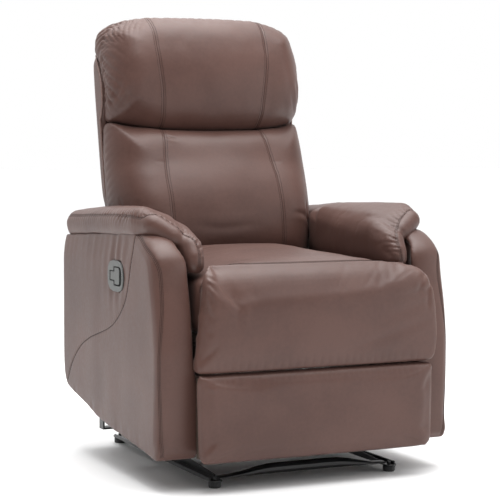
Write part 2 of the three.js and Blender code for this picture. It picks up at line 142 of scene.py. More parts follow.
def spline(points, step=STEP):
    """An even run of points on a smooth curve through the given ones."""
    p = np.asarray(points, float)
    p = np.vstack([2 * p[0] - p[1], p, 2 * p[-1] - p[-2]])
    out = []
    for i in range(1, len(p) - 2):
        a, b, c, d = p[i - 1:i + 3]
        n = max(4, int(np.linalg.norm(c - b) / step * 2))
        t = np.linspace(0, 1, n, endpoint=False)[:, None]
        out.append(0.5 * (2 * b + (c - a) * t + (2 * a - 5 * b + 4 * c - d) * t ** 2
                          + (3 * b - a - 3 * c + d) * t ** 3))
    out = np.vstack(out + [p[-2][None]])
    return even(out, step)


def even(line, step):
    """The same line with its points `step` apart."""
    at = np.concatenate([[0], np.cumsum(np.linalg.norm(np.diff(line, axis=0), axis=1))])
    n = max(2, int(at[-1] / step) + 1)
    s = np.linspace(0, at[-1], n)
    return np.stack([np.interp(s, at, line[:, k]) for k in range(3)], 1)


def pod(*balls, pair=True):
    """The tight skin round some balls (x, y, z, radius); with `pair`, each has a twin across the middle."""
    pts = []
    bands = 14
    for x, y, z, r in balls:
        for sx in ((-x, x) if pair else (x,)):
            for i in range(bands + 1):
                a = math.pi * i / bands
                m = max(1, int(round(2 * bands * math.sin(a))))
                for j in range(m):
                    b = 2 * math.pi * j / m
                    pts.append((sx + r * math.sin(a) * math.cos(b), y + r * math.sin(a) * math.sin(b),
                                z + r * math.cos(a)))
    bm = bmesh.new()
    for p in pts:
        bm.verts.new(p)
    bmesh.ops.convex_hull(bm, input=bm.verts)
    for v in [v for v in bm.verts if not v.link_faces]:
        bm.verts.remove(v)
    bm.verts.index_update()
    out = ([tuple(v.co) for v in bm.verts], [[v.index for v in f.verts] for f in bm.faces])
    bm.free()
    return out


def prism(points, place, lo, hi):
    """A flat outline carried from lo to hi; place(a, b, w) gives a point in space."""
    n = len(points)
    verts = [place(a, b, w) for w in (lo, hi) for a, b in points]
    faces = [[i, (i + 1) % n, n + (i + 1) % n, n + i] for i in range(n)]
    return verts, faces + [list(range(n))[::-1], list(range(n, 2 * n))]


def along_x(y, z, x):
    """Places an outline that is seen from the side."""
    return (x, y, z)


BACK_Y, BACK_Z = 105, 480
BACK_SIN, BACK_COS = 0.18224, 0.98325  # the closed back leans 10.5 degrees


def back(x, u, v):
    """The leaning back's own directions: u up it and v through it, from its front."""
    return (x, BACK_Y + BACK_SIN * u + BACK_COS * v, BACK_Z + BACK_COS * u - BACK_SIN * v)


def roll(d, width, depth=None):
    """How far a rounded edge falls back, d away from the edge."""
    t = np.clip(1 - np.asarray(d, float) / width, 0, 1)
    return (width if depth is None else depth) * (1 - np.sqrt(1 - t * t))


def outline(points, mirror=True, step=3.0):
    """A smooth closed outline; with mirror, the points are the half with x > 0, from middle to middle."""
    if mirror:
        half = spline([(a, b, 0) for a, b in points], step)[:, :2]
        return np.vstack([half, half[-2:0:-1] * (-1, 1)])
    closed = list(points) + [points[0]]
    return spline([(a, b, 0) for a, b in closed], step)[:-1, :2]


def pillow(loop, centre, front, rear, place, rings=24):
    """A closed form over an outline: its two faces are given by depth at (a, b, distance to the edge)."""
    loop, centre = np.asarray(loop, float), np.asarray(centre, float)
    # Rings crowd towards the edge, where the surface turns.
    grow = 1 - (1 - np.arange(1, rings + 1) / rings) ** 1.7
    flat = (centre + grow[:, None, None] * (loop - centre)).reshape(-1, 2)
    flat = np.vstack([flat, centre])
    d = np.concatenate([np.sqrt(((p[:, None] - loop[None]) ** 2).sum(2)).min(1)
                        for p in np.array_split(flat, 12)])
    n = len(loop)
    d[(rings - 1) * n:rings * n] = 0
    verts = []
    for face in (front, rear):
        w = face(flat[:, 0], flat[:, 1], d)
        verts += [place(a, b, c) for (a, b), c in zip(flat, w)]
    m, faces = len(flat), []
    for base in (0, m):
        for k in range(rings - 1):
            for i in range(n):
                j = (i + 1) % n
                q = [base + k * n + i, base + k * n + j, base + (k + 1) * n + j, base + (k + 1) * n + i]
                faces.append(q if base else q[::-1])
        for i in range(n):
            q = [base + m - 1, base + i, base + (i + 1) % n]
            faces.append(q if base == 0 else q[::-1])
    last = (rings - 1) * n
    for i in range(n):
        j = (i + 1) % n
        faces.append([last + i, last + j, m + last + j, m + last + i])
    return verts, faces


def gather(parts):
    """Several shapes as one."""
    verts, faces = [], []
    for v, f in parts:
        faces += [[i + len(verts) for i in face] for face in f]
        verts += [tuple(p) for p in v]
    return verts, faces


def soft(name, parts, voxel, smooth):
    """One closed even mesh round the parts, with softened edges."""
    ob = new_object(name, *gather(parts))
    m = ob.modifiers.new("even", "REMESH")
    m.mode = "VOXEL"
    m.voxel_size = voxel / 1000
    m = ob.modifiers.new("soften", "SMOOTH")
    m.factor = 0.5
    m.iterations = smooth
    bake(ob)
    return ob


def fill(ob, cap, hold, pressure=4.0, frames=20):
    """Fills the cover like a cushion: cloth under inner pressure, held where `hold` is true, that moves
    by `cap` at most."""
    before = get(ob)
    cloth = ob.modifiers.new("fill", "CLOTH")
    s = cloth.settings
    s.use_pressure = True
    s.uniform_pressure_force = pressure
    s.effector_weights.gravity = 0
    group = ob.vertex_groups.new(name="held")
    group.add([int(i) for i in np.nonzero(hold)[0]], 1.0, "REPLACE")
    s.vertex_group_mass = "held"
    cloth.point_cache.frame_start = 1
    cloth.point_cache.frame_end = frames
    for f in range(1, frames + 1):
        scene.frame_set(f)
    deps = bpy.context.evaluated_depsgraph_get()
    me = ob.evaluated_get(deps).to_mesh()
    after = np.zeros(len(me.vertices) * 3)
    me.vertices.foreach_get("co", after)
    after = from_world(after.reshape(-1, 3))
    ob.evaluated_get(deps).to_mesh_clear()
    ob.modifiers.clear()
    scene.frame_set(1)
    d = after - before
    far = np.linalg.norm(d, axis=1, keepdims=True) + 1e-9
    put(ob, before + d / far * cap * np.tanh(far / cap))


def finer(ob):
    """One round of subdivision."""
    m = ob.modifiers.new("fine", "SUBSURF")
    m.levels = m.render_levels = 1
    bake(ob)


def tree(ob):
    """The mesh, ready to be searched for its nearest places."""
    co = get(ob)
    return BVHTree.FromPolygons([Vector(c) for c in co], [list(p.vertices) for p in ob.data.polygons])


def onto(bvh, points, toward=None):
    """The points laid on the surface, along `toward` or to the nearest place, with the normals there."""
    out, normals = [], []
    for p in points:
        if toward is None:
            hit = bvh.find_nearest(Vector(p))
        else:
            d = Vector(toward).normalized()
            hit = bvh.ray_cast(Vector(p) - d * CAST_FROM, d)
        if hit[0] is not None:
            out.append(tuple(hit[0]))
            normals.append(tuple(hit[1]))
    return np.array(out), np.array(normals)


def near(co, line, reach):
    """For each point: how far the line is, and which of its points is nearest."""
    d = np.full(len(co), 1e9)
    k = np.zeros(len(co), int)
    idx = np.nonzero(((co > line.min(0) - reach) & (co < line.max(0) + reach)).all(1))[0]
    if len(idx) == 0:
        return d, k
    tang = np.gradient(line, axis=0)
    tang /= np.linalg.norm(tang, axis=1, keepdims=True) + 1e-9
    for part in np.array_split(idx, max(1, len(idx) * len(line) // BATCH)):
        q = co[part][:, None, :] - line[None]
        j = (q * q).sum(2).argmin(1)
        q = co[part] - line[j]
        s = (q * tang[j]).sum(1)
        s = np.where((j > 0) & (j < len(line) - 1), s, 0)
        d[part] = np.linalg.norm(q - s[:, None] * tang[j], axis=1)
        k[part] = j
    return d, k


def groove(ob, line, depth, width):
    """Pulls the surface in along a seam."""
    co, no = get(ob), get(ob, "normal")
    d, _ = near(co, line, width * 3)
    put(ob, co - no * (depth * np.exp(-(d / width) ** 2))[:, None])


def pleats(ob, line, reach, amp, every, seed=0, side=None, lean=0.0, span=(0, 1)):
    """Small gathers square to a seam, deepest at the seam."""
    co, no = get(ob), get(ob, "normal")
    d, k = near(co, line, reach)
    t = k * STEP
    w = np.clip(1 - d / reach, 0, 1) ** 1.4
    if side is not None:
        w *= ease(-3, 3, (co - line[k]) @ np.asarray(side, float))
    f = k / max(1, len(line) - 1)
    w *= ease(span[0] - 0.001, span[0] + 0.06, f) * (1 - ease(span[1] - 0.06, span[1] + 0.001, f))
    phase = t / every + 0.55 * wave(t / every / 2.3, seed) + lean * d / every
    fold = (0.5 + 0.5 * np.cos(2 * np.pi * phase)) ** 2.2
    fold *= 0.45 + 0.55 * (0.5 + 0.5 * wave(t / every / 1.7 + 9, seed + 3))
    put(ob, co - no * (amp * w * fold)[:, None])


def crease(ob, points, depth, width, toward, bvh):
    """One soft fold along a short line, with a slight swell on both sides."""
    line, _ = onto(bvh, spline(points), toward)
    co, no = get(ob), get(ob, "normal")
    d, k = near(co, line, width * 5)
    f = k / max(1, len(line) - 1)
    w = np.sin(np.pi * np.clip(f, 0.03, 0.97)) ** 0.6
    dip = depth * np.exp(-(d / width) ** 2)
    swell = 0.45 * depth * np.exp(-((d - 2.4 * width) / (1.3 * width)) ** 2)
    put(ob, co + no * ((-dip + swell) * w)[:, None])


def soften(ob, amp, size, seed):
    """Broad gentle unevenness."""
    co, no = get(ob), get(ob, "normal")
    n = noise(co / size, seed) + 0.5 * noise(co / size * 2.1, seed + 1)
    put(ob, co + no * (amp * n)[:, None])


def shift_row(line, normals, by):
    """The line moved sideways on the surface."""
    tang = np.gradient(line, axis=0)
    tang /= np.linalg.norm(tang, axis=1, keepdims=True) + 1e-9
    across = np.cross(normals, tang)
    across /= np.linalg.norm(across, axis=1, keepdims=True) + 1e-9
    return line + across * by


def tube(line, radius, sides=8, closed=False):
    """A round cord along a line."""
    line = np.asarray(line, float)
    tang = np.gradient(line, axis=0)
    if closed:
        tang = np.roll(line, -1, 0) - np.roll(line, 1, 0)
    tang /= np.linalg.norm(tang, axis=1, keepdims=True) + 1e-9
    up = np.array([0.0, 0, 1]) if abs(tang[0][2]) < 0.9 else np.array([1.0, 0, 0])
    verts, faces = [], []
    for p, t in zip(line, tang):
        a = up - t * (up @ t)
        a /= np.linalg.norm(a) + 1e-9
        b = np.cross(t, a)
        up = a
        for j in range(sides):
            q = 2 * math.pi * j / sides
            verts.append(p + radius * (a * math.cos(q) + b * math.sin(q)))
    n = len(line)
    for i in range(n if closed else n - 1):
        for j in range(sides):
            k = (i + 1) % n
            faces.append([i * sides + j, i * sides + (j + 1) % sides, k * sides + (j + 1) % sides,
                          k * sides + j])
    if not closed:
        faces += [list(range(sides))[::-1], [(n - 1) * sides + j for j in range(sides)]]
    return verts, faces


def stitches(line, normals, pitch=6.0, length=4.2, thick=0.5):
    """Separate thread stitches on a row."""
    seg = np.linalg.norm(np.diff(line, axis=0), axis=1)
    s = np.concatenate([[0], np.cumsum(seg)])
    out = []
    starts = np.arange(pitch * 0.3, s[-1] - length, pitch)
    for a in starts:
        spots = [a, a + length * 0.25, a + length * 0.75, a + length]
        p = [np.array([np.interp(q, s, line[:, k]) for k in range(3)]) for q in spots]
        n = np.array([np.interp(a + length / 2, s, normals[:, k]) for k in range(3)])
        n /= np.linalg.norm(n) + 1e-9
        t = p[3] - p[0]
        t /= np.linalg.norm(t) + 1e-9
        b = np.cross(n, t)
        verts = [p[0] - n * 0.5]
        for q in (1, 2):
            c = p[q] + n * 0.12
            verts += [c + n * thick, c + b * thick * 1.1, c - n * thick, c - b * thick * 1.1]
        verts.append(p[3] - n * 0.5)
        faces = []
        for j in range(4):
            k = (j + 1) % 4
            faces += [[0, 1 + k, 1 + j], [1 + j, 1 + k, 5 + k, 5 + j], [5 + j, 5 + k, 9]]
        out.append((verts, faces))
    return gather(out)


# ---- materials ------------------------------------------------------------------------------
def node(nt, kind, inputs=None, **props):
    """A new shader node; an input is a number or another node's output."""
    n = nt.nodes.new(kind)
    for k, v in props.items():
        setattr(n, k, v)
    for k, v in (inputs or {}).items():
        if isinstance(v, bpy.types.NodeSocket):
            nt.links.new(v, n.inputs[k])
        else:
            n.inputs[k].default_value = v
    return n


def ramp(nt, fac, stops):
    """Colours (place, colour) run through by fac."""
    n = node(nt, "ShaderNodeValToRGB", {"Fac": fac})
    cr = n.color_ramp
    while len(cr.elements) < len(stops):
        cr.elements.new(0.5)
    for e, (at, c) in zip(cr.elements, stops):
        e.position = at
        e.color = (*c, 1)
    return n.outputs["Color"]


def remap(nt, value, a, b, c, d):
    """The value's range a to b carried to c to d."""
    n = node(nt, "ShaderNodeMapRange", {"Value": value, "From Min": a, "From Max": b, "To Min": c,
                                        "To Max": d})
    return n.outputs["Result"]


def leather(name, dark=(0.074, 0.035, 0.0275), light=(0.096, 0.047, 0.037), rough=0.45, grain=1.0, seed=0.0):
    """Grained leather, clouded between its darkest and its lightest colour."""
    m = bpy.data.materials.new(name)
    m.use_nodes = True
    nt = m.node_tree
    bsdf = nt.nodes["Principled BSDF"]
    where = node(nt, "ShaderNodeTexCoord").outputs["Object"]
    shift = (seed, seed * 0.7, seed * 1.3)
    place = node(nt, "ShaderNodeMapping", {"Vector": where, "Location": shift}).outputs["Vector"]
    cloud = node(nt, "ShaderNodeTexNoise", {"Vector": place, "Scale": 5.0, "Detail": 4.0,
                                            "Roughness": 0.55}).outputs["Fac"]
    mottle = node(nt, "ShaderNodeTexNoise", {"Vector": place, "Scale": 130.0, "Detail": 3.0}).outputs["Fac"]
    mixed = node(nt, "ShaderNodeMath", {0: cloud, 1: remap(nt, mottle, 0.3, 0.7, -0.06, 0.06)},
                 operation="ADD").outputs[0]
    nt.links.new(ramp(nt, mixed, [(0.36, dark), (0.64, light)]), bsdf.inputs["Base Color"])
    # Pebbled grain about 1.5 mm across, pores, and faint pull lines.
    cells = node(nt, "ShaderNodeTexVoronoi", {"Vector": place, "Scale": 620.0},
                 feature="SMOOTH_F1").outputs["Distance"]
    pores = node(nt, "ShaderNodeTexNoise", {"Vector": place, "Scale": 900.0, "Detail": 2.0}).outputs["Fac"]
    pull = node(nt, "ShaderNodeTexNoise", {"Vector": place, "Scale": 22.0, "Detail": 4.0,
                                           "Distortion": 0.6}).outputs["Fac"]
    bump = node(nt, "ShaderNodeBump", {"Strength": 0.28, "Distance": 0.0016, "Height": pull})
    for strength, deep, height in ((0.22 * grain, 0.0003, cells), (0.12 * grain, 0.0002, pores)):
        bump = node(nt, "ShaderNodeBump", {"Strength": strength, "Distance": deep, "Height": height,
                                           "Normal": bump.outputs["Normal"]})
    nt.links.new(bump.outputs["Normal"], bsdf.inputs["Normal"])
    nt.links.new(remap(nt, mottle, 0.2, 0.8, rough - 0.05, rough + 0.05), bsdf.inputs["Roughness"])
    bsdf.inputs["Specular IOR Level"].default_value = 0.36
    bsdf.inputs["Sheen Weight"].default_value = 0.04
    bsdf.inputs["Sheen Roughness"].default_value = 0.45
    return m


def plain(name, dark, light, rough, metallic=0.0, scale=40.0, bump=0.1, bump_scale=400.0, stretch=(1, 1, 1),
          coat=0.0):
    """A material with a faint cloud of tone and a fine surface."""
    m = bpy.data.materials.new(name)
    m.use_nodes = True
    nt = m.node_tree
    bsdf = nt.nodes["Principled BSDF"]
    where = node(nt, "ShaderNodeTexCoord").outputs["Object"]
    place = node(nt, "ShaderNodeMapping", {"Vector": where, "Scale": stretch}).outputs["Vector"]
    tone = node(nt, "ShaderNodeTexNoise", {"Vector": place, "Scale": scale, "Detail": 5.0,
                                           "Roughness": 0.6}).outputs["Fac"]
    nt.links.new(ramp(nt, tone, [(0.35, dark), (0.65, light)]), bsdf.inputs["Base Color"])
    nt.links.new(remap(nt, tone, 0.3, 0.7, rough - 0.06, rough + 0.06), bsdf.inputs["Roughness"])
    fine = node(nt, "ShaderNodeTexNoise", {"Vector": place, "Scale": bump_scale,
                                           "Detail": 2.0}).outputs["Fac"]
    b = node(nt, "ShaderNodeBump", {"Strength": bump, "Distance": 0.0005, "Height": fine})
    nt.links.new(b.outputs["Normal"], bsdf.inputs["Normal"])
    bsdf.inputs["Metallic"].default_value = metallic
    bsdf.inputs["Coat Weight"].default_value = coat
    return m


LEATHER = leather("brown_leather")
# The piping is the cover's leather, coloured lighter to paint the highlight that its round cord catches.
LIT_PIPING = leather("brown_piping_painted_highlight", dark=(0.135, 0.082, 0.068), light=(0.17, 0.105, 0.09), rough=0.4, grain=0.4,
                 seed=2.0)
THREAD = plain("brown_thread", (0.030, 0.012, 0.009), (0.050, 0.022, 0.017), 0.75, scale=900, bump=0.3,
               bump_scale=2500)
# Near-black colour for the tubes laid in seam grooves and under thread rows: painted seam shadow.
SEAM_SHADE = plain("seam_shadow", (0.012, 0.004, 0.003), (0.020, 0.008, 0.006), 0.95, scale=300)
STEEL = plain("black_steel", (0.004, 0.004, 0.0045), (0.008, 0.008, 0.009), 0.42, 0.2, scale=30, bump=0.12,
              bump_scale=700, coat=0.15)
WOOD = plain("dark_plywood", (0.030, 0.018, 0.012), (0.055, 0.034, 0.022), 0.7, scale=9, bump=0.35,
             bump_scale=160, stretch=(6, 1, 6))
SPRING = plain("spring_steel", (0.30, 0.31, 0.32), (0.48, 0.49, 0.50), 0.35, 0.9, scale=60)
GREY = plain("grey_plastic", (0.090, 0.093, 0.090), (0.110, 0.113, 0.109), 0.46, scale=90, bump=0.25,
             bump_scale=1500)
BLACK = plain("black_plastic", (0.012, 0.012, 0.013), (0.02, 0.02, 0.021), 0.5, scale=90, bump=0.2,
              bump_scale=900)
FINISH = {"leather": LEATHER, "plywood": WOOD, "black_steel": STEEL, "spring_steel": SPRING,
          "grey_plastic": GREY, "black_plastic": BLACK}


def paint(ob, material):
    """Gives the piece this one material."""
    ob.data.materials.clear()
    ob.data.materials.append(material)


for part in frame["record"]["subparts"]:
    ob = frame["nodes"].get(part["node"])
    if ob is not None:
        paint(ob, FINISH[part["material_slot"]])


def trim(owner, name, parts, material):
    """A piece sewn to its owner, made of several shapes."""
    verts, faces = gather(parts)
    ob = new_object(name, verts, faces)
    paint(ob, material)
    ob.parent = owner


# Each kind of seam: its groove's depth and width, where the thread rows lie, and the radius of the middle
# line, a near-black tube of painted shadow in the groove.
SEAM_KINDS = {"double": (1.3, 3.0, (-5.6, 5.6), 0.55), "edge": (1.4, 3.6, (-3.2, 3.2), 0.45),
              "single": (1.4, 2.6, (), 0.7), "fine": (0.7, 3.0, (-2.6, 2.6), 0.3)}


def even_out(normals, rounds):
    """Each normal becomes the mean of itself and its neighbours."""
    for _ in range(rounds):
        normals[1:-1] = (normals[:-2] + normals[1:-1] + normals[2:]) / 3


def sew(ob, seams, name):
    """Lays grooves, then threads, and thin near-black tubes of painted shadow in each seam's groove and under
    each thread row, for seams given as (line, kind, toward).
    """
    bvh = tree(ob)
    laid = []
    for line, kind, toward in seams:
        on, _ = onto(bvh, line, toward)
        if len(on) > 3:
            laid.append((even(on, STEP), kind))
    for on, kind in laid:
        depth, width, _, _ = SEAM_KINDS[kind]
        groove(ob, on, depth, width)
    bvh = tree(ob)
    threads, dark = [], []
    for on, kind in laid:
        _, _, rows, middle = SEAM_KINDS[kind]
        on, no = onto(bvh, on)
        even_out(no, 3)
        # A near-black tube in the groove and one under each thread row paint the seam's shadow.
        dark.append(tube(on + no * 0.1, middle, 6))
        for by in rows:
            row, rn = onto(bvh, shift_row(on, no, by))
            even_out(rn, 2)
            threads.append(stitches(row, rn))
            dark.append(tube(row - rn * 0.05, 0.42, 5))
    if threads:
        trim(ob, name + "_stitching", threads, THREAD)
    trim(ob, name + "_painted_seam_shade", dark, SEAM_SHADE)


def finish_soft(ob, body, nodes):
    """Sets a padded piece on its body, in place of its plain solid."""
    paint(ob, LEATHER)
    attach(ob, body)
    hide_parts(*nodes)


# ---- camera, light and floor ---------------------------------------------------------------
camera = bpy.data.objects.new("camera", bpy.data.cameras.new("camera"))
scene.collection.objects.link(camera)
camera.data.lens = 114.7
camera.data.sensor_width = 36
camera.location = (-1.5822, -3.4404, 0.7257)
aim = Vector((0.0187, 0.025, 0.4923)) - camera.location
camera.rotation_euler = aim.to_track_quat("-Z", "Y").to_euler()
scene.camera = camera
scene.view_settings.view_transform = "Standard"
scene.view_settings.look = "None"

world = bpy.data.worlds.new("studio")
scene.world = world
world.use_nodes = True
wt = world.node_tree
sky = wt.nodes["Background"]
sky.inputs["Strength"].default_value = 1.0
way = node(wt, "ShaderNodeTexCoord").outputs["Generated"]
split = node(wt, "ShaderNodeSeparateXYZ", {"Vector": way})
# The studio is white behind the chair and dark in front, a little brighter overhead.
depth = remap(wt, split.outputs["Y"], -0.25, 0.5, 0.0, 1.0)
rise = remap(wt, split.outputs["Z"], 0.15, 0.9, 0.0, 0.12)
above = node(wt, "ShaderNodeMath", {0: depth, 1: rise}, operation="ADD").outputs[0]
# A pale wall stands low all round.
wall = remap(wt, split.outputs["Z"], 0.08, 0.28, 0.62, 0.0)
total = node(wt, "ShaderNodeMath", {0: above, 1: wall}, operation="MAXIMUM").outputs[0]
grey = node(wt, "ShaderNodeCombineColor", {"Red": total, "Green": total, "Blue": total}).outputs[0]
wt.links.new(grey, sky.inputs["Color"])


def lamp(name, at, to, size, power):
    """A soft rectangle of white light, in metres and watts."""
    data = bpy.data.lights.new(name, "AREA")
    data.shape = "RECTANGLE"
    data.size, data.size_y = size
    data.energy = power
    ob = bpy.data.objects.new(name, data)
    scene.collection.objects.link(ob)
    ob.location = at
    ob.rotation_euler = (Vector(to) - Vector(at)).to_track_quat("-Z", "Y").to_euler()


lamp("top_softbox", (0.1, -0.3, 3.0), (0, 0, 0.4), (2.4, 2.2), 92)
lamp("rear_top_softbox", (0.0, 1.6, 2.8), (0, 0, 0.5), (2.4, 1.6), 18)
lamp("right_softbox", (2.5, -2.5, 1.5), (0, 0, 0.5), (2.3, 2.2), 25)
lamp("low_right_softbox", (2.9, -1.6, 0.9), (0, 0, 0.4), (2.0, 1.6), 5)
sun = bpy.data.lights.new("overhead", "SUN")
sun.energy = 2.1
sun.angle = 1.5
overhead = bpy.data.objects.new("overhead", sun)
scene.collection.objects.link(overhead)
overhead.rotation_euler = (0.15, 0.1, 0)

floor = bpy.data.objects.new("floor", bpy.data.meshes.new("floor"))
FAR = 60
floor.data.from_pydata([(-FAR, -FAR, 0), (FAR, -FAR, 0), (FAR, FAR, 0), (-FAR, FAR, 0)], [], [[0, 1, 2, 3]])
scene.collection.objects.link(floor)
paint(floor, plain("pale_floor", (0.88, 0.88, 0.88), (0.91, 0.91, 0.91), 0.8, scale=2, bump=0.02))


# ---- upholstered arms ----------------------------------------------------------------------
# Outlines here are (y, z), seen from the side.
ARM_INNER, ARM_OUTER = 291.2, 360
ARM = [(-348, 90), (-352, 155), (-355, 202), (-356, 283), (-354, 318), (-344, 386), (-328, 452), (-320, 487),
       (-312, 502), (-297, 516), (-276, 529), (-258, 537), (-229, 546), (-190, 548), (-100, 545), (60, 538),
       (200, 530), (272, 526), (280, 518), (282, 400), (283, 215), (262, 160), (228, 147), (120, 126),
       (20, 104), (-143, 87), (-250, 77), (-322, 68), (-340, 74)]
SWEEP = [(-204, 552), (-198, 500), (-180, 440), (-152, 390), (-98, 348), (-47, 326), (23, 307), (86, 290),
         (152, 263), (210, 219), (246, 171)]
NOSE_SEAM = [(-206, 545), (-240, 534), (-267, 521), (-312, 494), (-340, 459), (-345, 402), (-342, 353),
             (-342, 290), (-342, 200), (-340, 80)]
# Width, height and corner radius of the holes for the handle's frame and tray.
OPENING, POCKET = (101.8, 70.8, 34), (88, 58, 8)


def arm_cover(side, name):
    """One arm's cover; side is 1 for the left arm and -1 for the right one, which holds the handle."""
    loop = outline(ARM, mirror=False)

    def outer(y, z, d):
        nose = ease(-170, -270, y) * ease(80, 130, z)
        wide = ARM_OUTER - 8 * ease(470, 545, z) * ease(-300, -150, y)
        wide -= roll(d, 9, 7) * (1 - nose) * ease(545, 500, z) + roll(d, 24) * nose
        # Soft upright folds run down from the armrest, past the handle.
        fade = ease(400, 530, z) * ease(-250, -190, y)
        wide += 0.8 * fade * wave(y / 11, 5) + 0.6 * fade * wave(y / 23 + z / 300, 8)
        by_handle = np.exp(-((y - HANDLE_Y) / 62) ** 2 - ((z - 470) / 75) ** 2)
        wide += 1.7 * by_handle * np.cos((y - HANDLE_Y) / 6.4 + 0.5 * np.sin(z / 38))
        wide += 0.7 * noise(np.stack([y / 60, z / 150, y * 0], 1), 3)
        if side < 0:
            r = np.hypot((y - HANDLE_Y) / 58, (z - HANDLE_Z) / 46)
            wide -= 3.6 * np.exp(-r ** 4)
        return side * wide

    def inner(y, z, d):
        nose = ease(-285, -325, y)
        return side * (ARM_INNER - (15 + 14 * ease(300, 200, z)) * nose + roll(d, 9, 8) * ease(-150, -260, y))

    ob = soft(name, [pillow(loop, (-60, 300), outer, inner, along_x, rings=40)], 5, 2)
    finer(ob)
    # The front panel swells, most of all at its top; small hem puckers lie along the lower edge.
    co, no = get(ob), get(ob, "normal")
    ax, y, z = side * co[:, 0], co[:, 1], co[:, 2]
    looks_out = ease(0.2, 0.7, -no[:, 1] + no[:, 2])
    plump = np.clip(1 - ((ax - 318) / 42) ** 2, 0, 1) * ease(-215, -262, y) * looks_out
    co += no * (plump * (3 + 6 * ease(420, 500, z)))[:, None]
    hem = ease(38, 6, co[:, 2] - 72 - np.clip(co[:, 1] + 320, 0, 600) * 0.125)
    out = ease(330, 350, side * co[:, 0])
    co[:, 0] -= side * 1.1 * hem * out * (1 + wave(co[:, 1] / 17, 14))
    put(ob, co)
    # The curved seam of the outer side, its faint gathers, and the seam of the front panel.
    sweep = spline([(side * 430, y, z) for y, z in SWEEP])
    laid, _ = onto(tree(ob), sweep, (-side, 0, 0))
    pleats(ob, laid, 22, 0.5, 13, seed=4)
    nose = spline([(side * 345.5, y, z) for y, z in NOSE_SEAM])
    sew(ob, [(sweep, "single", (-side, 0, 0)), (nose, "edge", None)], name)
    if side < 0:
        cutters = [round_slab(name + "_opening", HANDLE_Y, HANDLE_Z, *OPENING, -372, -354.5),
                   round_slab(name + "_pocket", -101, HANDLE_Z, *POCKET, -360, -327)]
        for c in cutters:
            m = ob.modifiers.new("cut", "BOOLEAN")
            m.operation = "DIFFERENCE"
            m.solver = "EXACT"
            m.object = c
        bake(ob)
        for c in cutters:
            bpy.data.objects.remove(c)
    return ob


def rounded(y0, z0, wide, tall, r, n=10):
    """A rectangle with round corners."""
    pts = []
    for cy, cz, a0 in ((1, 1, 0), (-1, 1, 90), (-1, -1, 180), (1, -1, 270)):
        for i in range(n + 1):
            a = math.radians(a0 + 90 * i / n)
            y = y0 + cy * (wide / 2 - r) + r * math.cos(a)
            z = z0 + cz * (tall / 2 - r) + r * math.sin(a)
            pts.append((y, z))
    return pts


def round_slab(name, y0, z0, wide, tall, r, x0, x1):
    """A cutter with that outline, from x0 to x1."""
    ob = new_object(name, *prism(rounded(y0, z0, wide, tall, r), along_x, x0, x1), smooth=False)
    bm = bmesh.new()
    bm.from_mesh(ob.data)
    bmesh.ops.recalc_face_normals(bm, faces=bm.faces)
    bm.to_mesh(ob.data)
    bm.free()
    return ob


for side, tag in ((1, "left"), (-1, "right")):
    ob = arm_cover(side, "arm_cover_" + tag)
    finish_soft(ob, "base", ["arm_upholstery_" + tag])


# ---- armrest pads ----------------------------------------------------------------------------
# The line where the pad's top and its outer strip are sewn together.
PAD_SEAM = [(353, 268, 574), (354, 200, 578), (354, 60, 583), (353, -60, 586), (353, -150, 586),
            (351, -200, 585), (345, -222, 583), (327, -230, 580), (309, -240, 575), (294, -248, 569),
            (280, -258, 561), (266, -272, 552), (256, -286, 543), (249, -300, 530), (247, -309, 516),
            (248, -318, 503), (249, -324, 490), (250, -326, 476)]


def disc(x, y, z, radius, edge):
    """Balls round a circle across Y, for an end with a rounded edge."""
    return [(x + (radius - edge) * math.cos(a), y, z + (radius - edge) * math.sin(a), edge)
            for a in np.arange(10) * math.tau / 10]


